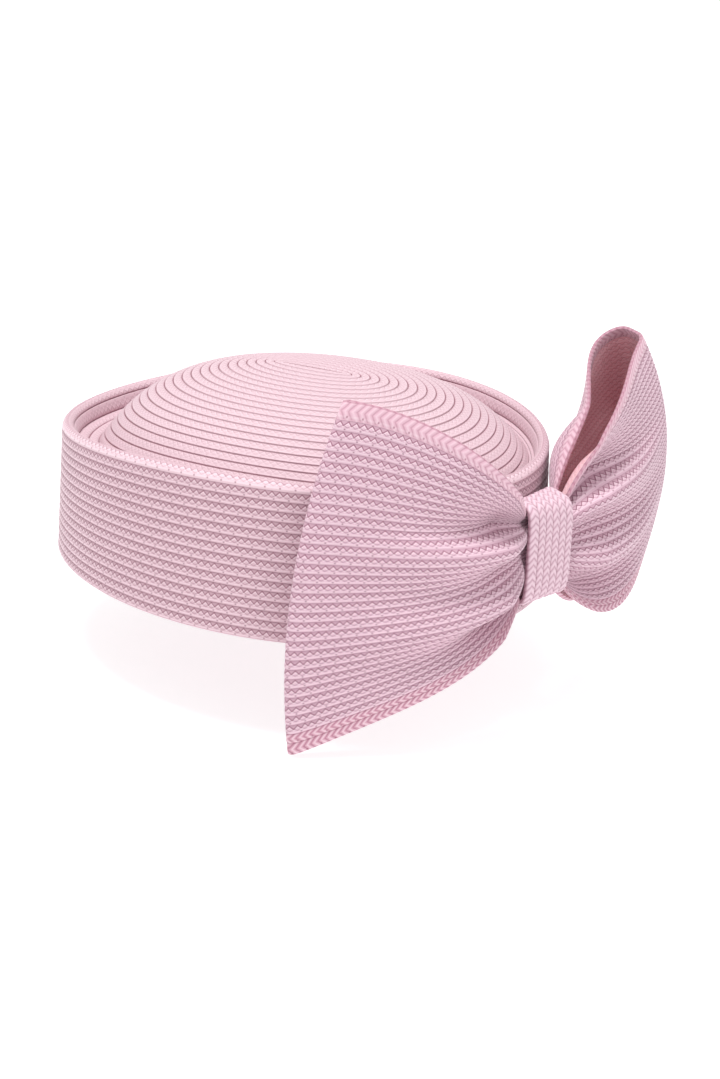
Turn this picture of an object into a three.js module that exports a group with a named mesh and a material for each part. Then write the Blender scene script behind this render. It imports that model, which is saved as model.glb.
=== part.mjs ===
import * as THREE from 'three';

// Pillbox hat of sewn straw braid with a large bow on one end of its oval.
// Millimetres, +Z up along the axis of the crown. The lower edge of the side wall is at z = 0
// and the origin is the centre of its oval. The bow is at the -Y end of the long axis, and its
// two loops run out to -X and +X, past the wall above and below.

// Side wall of the crown
const CROWN_LENGTH = 193.4;
const CROWN_WIDTH = 166.6;
const WALL_HEIGHT = 51.7;
const WALL_TAPER = 1.8;
const STRAW = 2.0;

// The oval is a little fuller towards the bow, as shares of its half width
const EGG_SHARE = 0.06;
const EGG_SHOULDER_SHARE = 0.01;

// The rim dips at the end away from the bow and rises at the sides
const RIM_SLOPE_RISE = 3.1;
const RIM_SADDLE_RISE = 3.5;
const RIM_CREST_RISE = 2.85;
const RIM_CREST_RUN = 2.3;
const RIM_ROUND_RISE_SHARE = 0.72;
const RIM_ROUND_RUN_SHARE = 0.35;

// Trough between the rim and the domed tip
const TROUGH_DEPTH = 8.0;
const TROUGH_WALL_RUN = 4.1;
const TROUGH_WALL_EASE = 3.2;
const RIM_TO_DOME_AT_BOW = 8.8;
const RIM_TO_DOME_AT_SIDES = 12.0;
const RIM_TO_DOME_AT_FAR_END = 16.7;

// Domed tip: its fall from the middle follows two powers of the distance from the middle
const DOME_TOP = 76.2;
const DOME_ROUND_POWER = 1.62;
const DOME_SHOULDER_POWER = 4.85;
const DOME_SHOULDER_SHARE = 0.48;

// Band of the bow, one sewn ring pinched at its middle
const BAND_WALL = 1.5;
const BAND_GATHERED_HEIGHT = 31.0;
const BAND_LAYER_GAP = 3.7;
const PLEAT_DEPTH = 2.6;
const FOLD_DEPTH = 10.5;
const FOLD_GROWTH = 5;
const FOLD_EASE = 1.5;
const BACK_FOLD_SHARE = 0.2;

// Knot strip round the gathered middle of the band. The knot is seated on the wall a little to
// the left of the end of the oval, and the bow is turned to face that way. The knot is thinner
// on its left side, where it leans on the wall.
const STRIP_WIDTH = 22.0;
const STRIP_WALL = 1.5;
const STRIP_BACK_RISE = 2.0;
const STRIP_SQUARENESS = 5;
const CLEARANCE = 0.4;
const KNOT_MOUTH = STRIP_WIDTH / 2 + CLEARANCE;
const KNOT_HEIGHT = 27.0;
const KNOT_SEAT_ANGLE = 3.5;
const KNOT_SEAT_GAP = 0.9;
const KNOT_LEFT_SHARE = 0.62;
const BOW_TURN = 21.0;

// The two loops. A reach is from the middle of the knot to the far bend, in the middle row of
// the band and at its two edges. A bend is as tall as the loop is there, and lift is how far its
// middle lies above the knot's. An opening is half the space between the two layers. A belly
// carries both layers forward, clear of the wall. A sweep turns the loop back along the wall, in
// degrees, and a lean tips its top edge back. A curl brings the top edge of the back layer
// forward, a sway does so near the knot and the reverse near the bend, a back belly carries the
// back layer's middle rows back, and a heel its upper rows beside the knot. bendRound is the
// power of the opening near the bend: the lower, the rounder. A flare is the power with which an
// edge rises out of the knot: the higher, the sooner.
const LEFT_LOOP = {
  side: -1,
  reach: 96.0,
  topReach: 79.2,
  footReach: 95.8,
  bendHeight: 128.5,
  lift: -1.0,
  opening: 6.1,
  bendRound: 0.5,
  curl: 0.0,
  sway: 0.0,
  backBelly: 0.0,
  heel: 0.0,
  edgeOpening: 4.7,
  belly: 9.0,
  sweep: 14.4,
  lean: 0.0,
  topFlare: 1.5,
  footFlare: 0.98,
};
const RIGHT_LOOP = {
  side: 1,
  reach: 97.8,
  topReach: 77.0,
  footReach: 88.0,
  bendHeight: 84.0,
  lift: 20.8,
  opening: 13.2,
  bendRound: 0.24,
  curl: -1.5,
  sway: 7.0,
  backBelly: 6.5,
  heel: 9.0,
  edgeOpening: 8.5,
  belly: 0.0,
  sweep: 16.0,
  lean: 6.0,
  topFlare: 3.8,
  footFlare: 5.0,
};

// Under 1, the belly is fullest nearer the knot
const BELLY_PLACE = 0.7;

// How far along a loop its heel runs, and how much less the hem has of it than the rows below
const HEEL_SPAN = 0.36;
const HEEL_HEM_SHARE = 0.65;

// Pleats of the gathered band, from its top edge to its lower edge. Columns: row is the place
// across the flat band, gathered is the same row's height in the knot, both as shares of half
// the height. Out and free are how far it stands forward in the knot and past it, as shares of
// the depth of the pleats.
const PLEATS = [
  { row: 1.0, gathered: 1.0, out: 0.1, free: 0.55 },
  { row: 0.36, gathered: 0.8, out: -1.0, free: -1.25 },
  { row: 0.17, gathered: 0.55, out: 0.9, free: 0.85 },
  { row: -0.08, gathered: 0.14, out: -0.55, free: -0.5 },
  { row: -0.36, gathered: -0.35, out: 0.85, free: 0.9 },
  { row: -0.6, gathered: -0.8, out: -0.7, free: -1.0 },
  { row: -1.0, gathered: -1.0, out: 0.05, free: 0.45 },
];

// Section of the trough wall, from the crest of the rim to the foot of the dome. Columns: run is
// the share of the way in along the trough wall or floor, drop is the share of the trough depth.
const TROUGH_WALL = [
  { run: 0.3, drop: 0.08 },
  { run: 0.62, drop: 0.34 },
  { run: 0.84, drop: 0.68 },
  { run: 1.0, drop: 0.9 },
];
const TROUGH_FLOOR = [{ run: 0.5, drop: 1.0 }];

// Fineness of the faceted surfaces
const DOME_SLOPE_STEP = 0.05;
const CROWN_SIDES = 64;
const WALL_RINGS = 3;
const DOME_RINGS = 10;
const BAND_STEPS_PER_LAYER = 14;
const BAND_STEPS_IN_KNOT = 2;
const BAND_ROWS = 26;
const STRIP_STEPS = 36;
const STRIP_COLUMNS = 3;
const LEAST_FACE_AREA = 1e-6;

const HALF_LENGTH = CROWN_LENGTH / 2;
const HALF_WIDTH = CROWN_WIDTH / 2;
const DOME_HALF_LENGTH = HALF_LENGTH - (RIM_TO_DOME_AT_BOW + RIM_TO_DOME_AT_FAR_END) / 2;
const DOME_HALF_WIDTH = HALF_WIDTH - RIM_TO_DOME_AT_SIDES;
const DOME_SHIFT = (RIM_TO_DOME_AT_BOW - RIM_TO_DOME_AT_FAR_END) / 2;

const mix = (a, b, share) => a + (b - a) * share;
const point = (x, y, z) => new THREE.Vector3(x, y, z);

// A ring of the crown at one angle: 0 is the end with the bow
function oval(angle, halfLength, halfWidth, egg, height) {
  const bulge = 1 + egg * (EGG_SHARE * Math.cos(angle) + EGG_SHOULDER_SHARE * Math.cos(2 * angle));
  return point(
    -halfWidth * Math.sin(angle) * bulge,
    -halfLength * Math.cos(angle),
    height,
  );
}

function insetOval(angle, inset, height) {
  return oval(angle, HALF_LENGTH - inset, HALF_WIDTH - inset, 1, height);
}

function rimHeight(angle) {
  return WALL_HEIGHT + RIM_SLOPE_RISE * Math.cos(angle) - RIM_SADDLE_RISE * Math.cos(2 * angle);
}

function crest(angle) {
  return insetOval(angle, WALL_TAPER + RIM_CREST_RUN, rimHeight(angle) + RIM_CREST_RISE);
}

function domeFall(share) {
  return mix(share ** DOME_ROUND_POWER, share ** DOME_SHOULDER_POWER, DOME_SHOULDER_SHARE);
}

// Outer surface of the domed tip, share 0 at the middle and 1 at its foot
function dome(angle, share, foot) {
  const start = DOME_HALF_LENGTH - DOME_HALF_WIDTH;
  const ring = oval(
    angle,
    start + DOME_HALF_WIDTH * share,
    DOME_HALF_WIDTH * share,
    share,
    DOME_TOP - (DOME_TOP - foot) * domeFall(share),
  );
  ring.y += DOME_SHIFT;
  return ring;
}

function troughFloor(angle) {
  return crest(angle).z - TROUGH_DEPTH;
}

// The trough is narrow beside the bow, and its wall steepens there
function troughPoint(angle, row, onFloor) {
  const lip = crest(angle);
  const foot = dome(angle, 1, troughFloor(angle));
  const width = Math.hypot(foot.x - lip.x, foot.y - lip.y);
  const wallShare = TROUGH_WALL_RUN * (1 - Math.exp(-width / TROUGH_WALL_EASE)) / width;
  const share = onFloor ? mix(wallShare, 1, row.run) : wallShare * row.run;
  return point(
    mix(lip.x, foot.x, share),
    mix(lip.y, foot.y, share),
    lip.z - TROUGH_DEPTH * row.drop,
  );
}

// Outer profile of the crown at one angle, from the lower edge to the middle of the tip
function outerProfile(angle) {
  const profile = [];
  for (let i = 0; i <= WALL_RINGS; i += 1) {
    const share = i / WALL_RINGS;
    profile.push(insetOval(angle, WALL_TAPER * share, rimHeight(angle) * share));
  }
  profile.push(insetOval(
    angle,
    WALL_TAPER + RIM_CREST_RUN * RIM_ROUND_RUN_SHARE,
    rimHeight(angle) + RIM_CREST_RISE * RIM_ROUND_RISE_SHARE,
  ));
  profile.push(crest(angle));
  for (const row of TROUGH_WALL) {
    profile.push(troughPoint(angle, row, false));
  }
  for (const row of TROUGH_FLOOR) {
    profile.push(troughPoint(angle, row, true));
  }
  for (let i = 0; i <= DOME_RINGS; i += 1) {
    profile.push(dome(angle, 1 - i / DOME_RINGS, troughFloor(angle)));
  }
  return profile;
}

// Inner profile: the wall goes up to the trough, whose turned-over rim is a double layer
function innerProfile(angle) {
  const ceiling = troughFloor(angle) - STRAW;
  const profile = [];
  for (let i = 0; i <= WALL_RINGS; i += 1) {
    const height = ceiling * (i / WALL_RINGS);
    const taper = WALL_TAPER * height / rimHeight(angle);
    profile.push(insetOval(angle, STRAW + taper, height));
  }
  for (let i = 0; i <= DOME_RINGS; i += 1) {
    const share = 1 - i / DOME_RINGS;
    const slope = (domeFall(share) - domeFall(share - DOME_SLOPE_STEP)) / DOME_SLOPE_STEP
      * (DOME_TOP - ceiling - STRAW) / DOME_HALF_WIDTH;
    const inward = share > 0 ? STRAW * slope / Math.hypot(1, slope) * share : 0;
    const ring = oval(
      angle,
      DOME_HALF_LENGTH - DOME_HALF_WIDTH * (1 - share) - inward,
      DOME_HALF_WIDTH * share - inward,
      share,
      DOME_TOP - STRAW - (DOME_TOP - STRAW - ceiling) * domeFall(share),
    );
    ring.y += DOME_SHIFT;
    profile.push(ring);
  }
  return profile;
}

// A closed body between grids of points. Every grid is a list of rings, and each ring's last
// point joins its first. Neighbouring rings are joined by faces.
function ringsBody(rings) {
  const positions = rings.flat().flatMap((corner) => corner.toArray());
  const count = rings[0].length;
  const faces = [];
  const addFace = (a, b, c) => {
    const corners = [a, b, c].map((i) => rings[Math.floor(i / count)][i % count]);
    const [p, q, r] = corners;
    const area = q.clone().sub(p).cross(r.clone().sub(p)).length();
    if (area > LEAST_FACE_AREA) {
      faces.push(a, b, c);
    }
  };
  for (let ring = 0; ring + 1 < rings.length; ring += 1) {
    for (let i = 0; i < count; i += 1) {
      const next = (i + 1) % count;
      const a = ring * count + i;
      const b = ring * count + next;
      const c = (ring + 1) * count + next;
      const d = (ring + 1) * count + i;
      addFace(a, b, c);
      addFace(a, c, d);
    }
  }
  const geometry = new THREE.BufferGeometry();
  geometry.setAttribute('position', new THREE.Float32BufferAttribute(positions, 3));
  geometry.setIndex(faces);
  geometry.computeVertexNormals();
  return geometry;
}

function crownGeometry() {
  const outer = [];
  const inner = [];
  for (let i = 0; i < CROWN_SIDES; i += 1) {
    const angle = (2 * Math.PI * i) / CROWN_SIDES;
    outer.push(outerProfile(angle));
    inner.push(innerProfile(angle));
  }
  const ring = (profiles, k) => profiles.map((profile) => profile[k]);
  const rings = [];
  for (let k = outer[0].length - 1; k >= 0; k -= 1) {
    rings.push(ring(outer, k));
  }
  for (let k = 0; k < inner[0].length; k += 1) {
    rings.push(ring(inner, k));
  }
  return ringsBody(rings);
}

// Value of a column of the pleat table at a row, eased so that each entry is a crest or a valley
function pleatValue(row, column, eased) {
  let k = 0;
  while (k < PLEATS.length - 2 && row < PLEATS[k + 1].row) {
    k += 1;
  }
  const from = PLEATS[k];
  const to = PLEATS[k + 1];
  const share = (from.row - row) / (from.row - to.row);
  const ease = eased ? share * share * (3 - 2 * share) : share;
  return mix(from[column], to[column], ease);
}

// Half the depth of the knot on its full side, and how far forward the band reaches in it
const KNOT_DEPTH = BAND_LAYER_GAP / 2 + BAND_WALL + PLEAT_DEPTH + CLEARANCE + STRIP_WALL;
const BAND_FRONT = KNOT_DEPTH - STRIP_WALL - CLEARANCE - BAND_WALL / 2;

// Ways of the bow, seen in plan: forward is away from the wall, aside is towards the right loop
const TURN = THREE.MathUtils.degToRad(BOW_TURN);
const FORWARD = point(-Math.sin(TURN), -Math.cos(TURN), 0);
const ASIDE = point(Math.cos(TURN), -Math.sin(TURN), 0);

function knotCentre() {
  const angle = THREE.MathUtils.degToRad(KNOT_SEAT_ANGLE);
  const taper = WALL_TAPER * KNOT_HEIGHT / rimHeight(angle);
  const seat = insetOval(angle, taper, KNOT_HEIGHT);
  const middleShare = (1 + KNOT_LEFT_SHARE) / 2;
  return seat.addScaledVector(FORWARD, KNOT_SEAT_GAP + KNOT_DEPTH * (2 * middleShare - 1));
}

const KNOT_CENTRE = knotCentre();

// A point of the bow from its place aside of the knot's middle, forward of it and up
function bowPoint(aside, forward, up) {
  return KNOT_CENTRE.clone()
    .addScaledVector(ASIDE, aside)
    .addScaledVector(FORWARD, forward)
    .setZ(KNOT_CENTRE.z + up);
}

// How thick the knot is at a place aside of its middle, as a share of its full side
function knotShare(aside) {
  const share = THREE.MathUtils.clamp(aside / STRIP_WIDTH + 0.5, 0, 1);
  return mix(KNOT_LEFT_SHARE, 1, share);
}

// The knot keeps its front and thins from behind
function thinned(front, forward, share) {
  return front - share * (front - forward);
}

// Angle round a loop at a step of the way from the knot in front, over half a turn at the far
// bend, to the knot behind. One step lies at the mouth of the knot, whatever the reach.
function loopAngle(step, reach) {
  const near = Math.min(step, 2 * BAND_STEPS_PER_LAYER - step);
  const inKnot = Math.min(1, near / BAND_STEPS_IN_KNOT);
  const mouth = Math.acos(1 - 2 * KNOT_MOUTH * inKnot / reach);
  const outside = Math.max(0, near - BAND_STEPS_IN_KNOT);
  const angle = mix(mouth, Math.PI, outside / (BAND_STEPS_PER_LAYER - BAND_STEPS_IN_KNOT));
  return step > BAND_STEPS_PER_LAYER ? 2 * Math.PI - angle : angle;
}

// Middle surface of one loop at a step. The row is 1 at the top edge and -1 at the foot.
function loopPoint(loop, step, row) {
  const edgeReach = (loop.topReach + loop.footReach) / 2;
  const slant = (loop.topReach - loop.footReach) / 2;
  const reach = mix(loop.reach, edgeReach, row * row) + slant * row;
  const theta = loopAngle(step, reach);
  const along = reach * (1 - Math.cos(theta)) / 2;
  const free = THREE.MathUtils.clamp((along - KNOT_MOUTH) / (reach - KNOT_MOUTH), 0, 1);
  const turned = free * free * (3 - 2 * free);
  const gather = (1 - free) ** 3;
  const spread = 1 - (1 - free) ** mix(loop.footFlare, loop.topFlare, (1 + row) / 2);

  const height = mix(BAND_GATHERED_HEIGHT, loop.bendHeight, spread) / 2;
  const share = mix(row, pleatValue(row, 'gathered', false), gather);

  const opening = mix(loop.opening, loop.edgeOpening, row * row);
  const apart = 2 * free * (1 - free) ** loop.bendRound * Math.sign(Math.PI - theta);
  const layer = (BAND_LAYER_GAP + BAND_WALL) / 2 * Math.cos(theta / 2) + opening * apart;
  const grown = Math.min(1, free * FOLD_GROWTH);
  const foldDepth = mix(PLEAT_DEPTH, FOLD_DEPTH, grown) * (1 - free) ** FOLD_EASE;
  const room = mix(knotShare(loop.side * along), 1, grown);
  const tipped = loop.lean * spread * (row + 1) / 2;
  const carried = loop.belly * Math.sin(Math.PI * free ** BELLY_PLACE);
  const foldShare = mix(BACK_FOLD_SHARE, 1, (1 + Math.cos(theta / 2)) / 2);
  const behind = (1 - Math.cos(theta / 2)) / 2;
  const curl = loop.curl * Math.sin(Math.PI * free) + loop.sway * Math.sin(2 * Math.PI * free);
  const bulge = loop.backBelly * Math.sin(Math.PI * free) * (1 - row ** 4);
  const upper = Math.max(0, row);
  const heelRow = upper * (1 - HEEL_HEM_SHARE * upper ** 8);
  const heel = loop.heel * Math.sin(Math.PI * Math.min(1, free / HEEL_SPAN)) * heelRow;
  const curled = behind * (curl * upper ** 3 - bulge - heel);
  const out = mix(pleatValue(row, 'out', true), pleatValue(row, 'free', true), grown);
  const folded = layer + foldDepth * foldShare * out + curled;
  const forward = thinned(BAND_FRONT, folded, room) + carried - tipped;

  const heading = THREE.MathUtils.degToRad(loop.sweep) * turned;
  return bowPoint(
    loop.side * (along * Math.cos(heading) - forward * Math.sin(heading)),
    forward * Math.cos(heading) - along * Math.sin(heading),
    loop.lift * free + height * share,
  );
}

// The whole band as one ring: left loop front to back, then right loop back to front
function bandMiddle() {
  const columns = [];
  const steps = 2 * BAND_STEPS_PER_LAYER;
  const column = (loop, step) => {
    const rows = [];
    for (let j = 0; j <= BAND_ROWS; j += 1) {
      rows.push(loopPoint(loop, step, 1 - (2 * j) / BAND_ROWS));
    }
    return rows;
  };
  for (let i = 0; i < steps; i += 1) {
    columns.push(column(LEFT_LOOP, i));
  }
  for (let i = 0; i < steps; i += 1) {
    columns.push(column(RIGHT_LOOP, steps - i));
  }
  return columns;
}

// Two faces of a wall, half its thickness either side of a ring-shaped middle surface
function wallFaces(columns, wall) {
  const count = columns.length;
  const rows = columns[0].length;
  const faces = { front: [], back: [] };
  for (let j = 0; j < rows; j += 1) {
    const front = [];
    const back = [];
    for (let i = 0; i < count; i += 1) {
      const here = columns[i][j];
      const ahead = columns[(i + 1) % count][j].clone().sub(columns[(i + count - 1) % count][j]);
      const down = columns[i][Math.min(j + 1, rows - 1)].clone()
        .sub(columns[i][Math.max(j - 1, 0)]);
      const normal = ahead.cross(down).normalize().multiplyScalar(wall / 2);
      front.push(here.clone().add(normal));
      back.push(here.clone().sub(normal));
    }
    faces.front.push(front);
    faces.back.push(back);
  }
  return faces;
}

function wallBody(columns, wall) {
  const { front, back } = wallFaces(columns, wall);
  const rings = [...front, ...back.reverse(), front[0]];
  return ringsBody(rings);
}

function bandGeometry() {
  return wallBody(bandMiddle(), BAND_WALL);
}

// Knot strip: a closed band round the gathered middle, taller where it lies on the side wall
function stripMiddle() {
  const depth = KNOT_DEPTH - STRIP_WALL / 2;
  const height = (BAND_GATHERED_HEIGHT + BAND_WALL + STRIP_WALL) / 2 + CLEARANCE;
  const power = 2 / STRIP_SQUARENESS;
  const columns = [];
  for (let i = 0; i < STRIP_STEPS; i += 1) {
    const angle = (2 * Math.PI * i) / STRIP_STEPS;
    const forward = Math.sign(Math.cos(angle)) * Math.abs(Math.cos(angle)) ** power;
    const upward = Math.sign(Math.sin(angle)) * Math.abs(Math.sin(angle)) ** power;
    const tall = height + STRIP_BACK_RISE * (1 - forward) / 2;
    const rows = [];
    for (let j = 0; j <= STRIP_COLUMNS; j += 1) {
      const share = j / STRIP_COLUMNS - 0.5;
      const aside = -STRIP_WIDTH * share;
      const out = thinned(depth, depth * forward, knotShare(aside));
      rows.push(bowPoint(aside, out, tall * upward));
    }
    columns.push(rows);
  }
  return columns;
}

function stripGeometry() {
  return wallBody(stripMiddle(), STRIP_WALL);
}

function piece(name, geometry, colour, roughness) {
  const material = new THREE.MeshStandardMaterial({ color: colour, roughness, metalness: 0 });
  const mesh = new THREE.Mesh(geometry, material);
  mesh.name = name;
  return mesh;
}

const hat = new THREE.Group();
hat.name = 'pillbox_hat';
hat.add(piece('crown', crownGeometry(), 0xe3c3cc, 0.62));
hat.add(piece('bow_band', bandGeometry(), 0xd6b3c0, 0.6));
hat.add(piece('bow_knot', stripGeometry(), 0xd9b9c6, 0.6));

export default hat;
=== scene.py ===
"""Pillbox hat of sewn straw braid with a large bow: its looks, light and camera.

Lengths are in millimetres until a mesh is made. The frame is the CAD's: +Z up along the crown's
axis, the wall's lower edge at z = 0, the bow at the -Y end.
"""

import logging
import math
from dataclasses import dataclass, field
from enum import Enum, IntEnum

import bpy
import numpy as np
from mathutils import Matrix, Vector


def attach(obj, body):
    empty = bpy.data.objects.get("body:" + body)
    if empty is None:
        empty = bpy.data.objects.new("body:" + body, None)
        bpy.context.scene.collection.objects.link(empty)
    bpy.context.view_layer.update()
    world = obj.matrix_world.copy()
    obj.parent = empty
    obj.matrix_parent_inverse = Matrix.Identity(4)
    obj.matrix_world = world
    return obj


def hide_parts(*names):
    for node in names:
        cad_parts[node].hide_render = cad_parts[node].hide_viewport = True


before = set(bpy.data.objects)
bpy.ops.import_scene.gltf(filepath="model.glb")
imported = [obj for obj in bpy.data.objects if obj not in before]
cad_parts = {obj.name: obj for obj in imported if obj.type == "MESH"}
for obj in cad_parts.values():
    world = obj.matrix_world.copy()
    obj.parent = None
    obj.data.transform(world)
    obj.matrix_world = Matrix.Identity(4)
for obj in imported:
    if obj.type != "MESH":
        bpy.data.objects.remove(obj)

Colour = tuple[float, float, float, float]
Measure = float | np.ndarray

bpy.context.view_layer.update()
MM = 0.001
TAU = 2 * math.pi
TINY = 1e-9
BRAID_MAP = "Braid"

# Length of one tooth of the plait along a row
PLAIT_PERIOD = 2.7

# Where a row ends on its UV map, just short of the next one
ROW_END = 0.9999

# Edges sharper than this many degrees stay crisp
CRISP_ANGLE = 48

# How many samples measure the dome's section, and the step that its slope is taken over
ARC_SAMPLES = 400
SLOPE_STEP = 0.05

# Places of the colour sockets of a Mix node
MIX_LOW, MIX_HIGH, MIX_RESULT = 6, 7, 2

log = logging.getLogger("hat")


def mix(a: Measure, b: Measure, share: Measure) -> Measure:
    """Value between a and b."""
    return a + (b - a) * share


def smooth(share: Measure) -> Measure:
    """A share from 0 to 1, eased at both ends."""
    return share * share * (3 - 2 * share)


def unit(vectors: np.ndarray) -> np.ndarray:
    """The vectors at a length of one."""
    return vectors / np.maximum(np.linalg.norm(vectors, axis=-1, keepdims=True), TINY)


# Shader maths


class Value:
    """A shader socket whose arithmetic adds Math nodes."""

    def __init__(self, shader: "Shader", socket: bpy.types.NodeSocket) -> None:
        """Wraps the output socket of a node in that shader."""
        self.shader = shader
        self.socket = socket

    def _math(self, operation: str, *values: "Value | float") -> "Value":
        """A Math node on these values."""
        node = self.shader.node("ShaderNodeMath", {"operation": operation}, *values)
        return self.shader.out(node)

    def __add__(self, other: "Value | float") -> "Value":
        """Sum."""
        return self._math("ADD", self, other)

    def __radd__(self, other: float) -> "Value":
        """Sum, with the number first."""
        return self._math("ADD", other, self)

    def __sub__(self, other: "Value | float") -> "Value":
        """Difference."""
        return self._math("SUBTRACT", self, other)

    def __rsub__(self, other: float) -> "Value":
        """Difference, with the number first."""
        return self._math("SUBTRACT", other, self)

    def __mul__(self, other: "Value | float") -> "Value":
        """Product."""
        return self._math("MULTIPLY", self, other)

    def __rmul__(self, other: float) -> "Value":
        """Product, with the number first."""
        return self._math("MULTIPLY", other, self)

    def fract(self) -> "Value":
        """The part after the point."""
        return self._math("FRACT", self)

    def floor(self) -> "Value":
        """The whole number below."""
        return self._math("FLOOR", self)

    def abs(self) -> "Value":
        """The size without its sign."""
        return self._math("ABSOLUTE", self)

    def clamp(self) -> "Value":
        """The value kept from 0 to 1."""
        return self._math("MINIMUM", self._math("MAXIMUM", self, 0.0), 1.0)


class Shader:
    """One material's node tree, built by expressions."""

    def __init__(self, name: str) -> None:
        """Makes the material, empty of nodes.

        Args:
            name: Its name.
        """
        self.material = bpy.data.materials.new(name)
        self.material.use_nodes = True
        self.tree = self.material.node_tree
        self.tree.nodes.clear()

    def node(
        self,
        kind: str,
        settings: dict[str, str] | None = None,
        *values: Value | float | Colour,
        **named: Value | float | Colour,
    ) -> bpy.types.Node:
        """Adds a node.

        Args:
            kind: The node's type.
            settings: Its own properties, set before its sockets.
            values: Values or links of its first sockets, in order.
            named: Values or links of sockets by name, with _ for a space.
        Returns:
            The node.
        """
        node = self.tree.nodes.new(kind)
        for name, value in (settings or {}).items():
            setattr(node, name, value)
        for place, value in enumerate(values):
            self.feed(node.inputs[place], value)
        for name, value in named.items():
            self.feed(node.inputs[name.replace("_", " ")], value)
        return node

    def feed(self, socket: bpy.types.NodeSocket, value: Value | float | Colour) -> None:
        """Links a Value to a socket or sets the socket's own value.

        Args:
            socket: The input socket.
            value: What feeds it.
        """
        if isinstance(value, Value):
            self.tree.links.new(value.socket, socket)
        else:
            socket.default_value = value

    def out(self, node: bpy.types.Node, name: str | int = 0) -> Value:
        """One output of a node."""
        return Value(self, node.outputs[name])

    def blend(self, share: Value, low: Value | Colour, high: Value | Colour) -> Value:
        """A colour from low to high.

        Args:
            share: How much of high.
            low: The colour at 0.
            high: The colour at 1.
        Returns:
            The colour.
        """
        node = self.node("ShaderNodeMix", {"data_type": "RGBA"}, share)
        self.feed(node.inputs[MIX_LOW], low)
        self.feed(node.inputs[MIX_HIGH], high)
        return self.out(node, MIX_RESULT)

    def step(self, value: Value, start: Value | float, end: Value | float) -> Value:
        """A soft step from 0 at start to 1 at end."""
        settings = {"interpolation_type": "SMOOTHSTEP"}
        return self.out(self.node("ShaderNodeMapRange", settings, value, start, end, 0.0, 1.0))

    def noise(self, u: Value, v: Value, detail: float = 2.0) -> Value:
        """Smooth noise from 0 to 1.

        Args:
            u: The first coordinate.
            v: The second coordinate.
            detail: How many finer layers it has.
        Returns:
            The noise.
        """
        place = self.out(self.node("ShaderNodeCombineXYZ", None, u, v, 0.0))
        node = self.node("ShaderNodeTexNoise", None, Vector=place, Scale=1.0, Detail=detail)
        return self.out(node, "Fac")

    def finish(self, **named: Value | float | Colour) -> bpy.types.Material:
        """Adds the surface and the output.

        Args:
            named: Values or links of the surface's sockets by name, with _ for a space.
        Returns:
            The material.
        """
        surface = self.node("ShaderNodeBsdfPrincipled", None, **named)
        self.node("ShaderNodeOutputMaterial", None, self.out(surface))
        return self.material


def srgb(red: int, green: int, blue: int) -> Colour:
    """A colour as linear light.

    Args:
        red: Red from 0 to 255.
        green: Green from 0 to 255.
        blue: Blue from 0 to 255.
    Returns:
        The colour with full alpha.
    """
    linear = [
        c / 12.92 if c <= 0.04045 else ((c + 0.055) / 1.055) ** 2.4
        for c in (red / 255, green / 255, blue / 255)
    ]
    return (*linear, 1.0)


# Finish of the straw


class Plait(Enum):
    """How the straws of a row cross."""

    SCALLOP = "scallop"
    CHEVRON = "chevron"


@dataclass(frozen=True)
class BraidPattern:
    """Measures that all rows share, in plait periods along and rows across.

    A pair named edge is the start and end of a soft edge. A rise is a height in the bump.
    """

    wander_scale: float = 0.6
    wander_by_row: float = 7.3
    wander_across: float = 0.05
    wander_along: float = 0.5
    row_shift: float = 0.37
    tooth_edge: tuple[float, float] = (-0.05, 0.03)
    tooth_line_edge: tuple[float, float] = (0.03, 0.11)
    cross_tooth_share: float = 0.6
    cross_edge: tuple[float, float] = (0.02, 0.08)
    cross_share: float = 0.6
    straw_below_tooth: float = 0.16
    straw_edge: tuple[float, float] = (0.03, 0.1)
    chevron_gap_edge: float = 0.07
    chevron_slope: float = 1.6
    chevron_line_edge: tuple[float, float] = (0.6, 0.95)
    chevron_end_edge: tuple[float, float] = (0.9, 0.98)
    chevron_straw_edge: tuple[float, float] = (0.1, 0.5)
    thread_edge: tuple[float, float] = (0.03, 0.09)
    stitches_per_period: float = 0.5
    stitch_row_shift: float = 0.31
    hole_edge: tuple[float, float] = (0.03, 0.08)
    lower_edge: tuple[float, float] = (0.88, 0.97)
    lower_share: float = 0.4
    streak_along: float = 0.22
    streak_by_row: float = 3.1
    streak_across: float = 2.5
    streak_detail: float = 3.0
    fibre_along: float = 6.0
    fibre_across: float = 9.0
    fibre_tone: float = 0.14
    level: float = 0.5
    notch_rise: float = -0.3
    line_rise: float = -0.4
    straw_rise: float = 0.3
    thread_rise: float = 0.12
    hole_rise: float = -0.4
    seam_rise: float = -0.3
    fibre_rise: float = 0.12
    bump_depth: float = 0.45
    line_roughness: float = 0.2
    thread_polish: float = 0.1
    sheen: float = 0.15
    sheen_roughness: float = 0.4
    specular: float = 0.35


PATTERN = BraidPattern()


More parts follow.
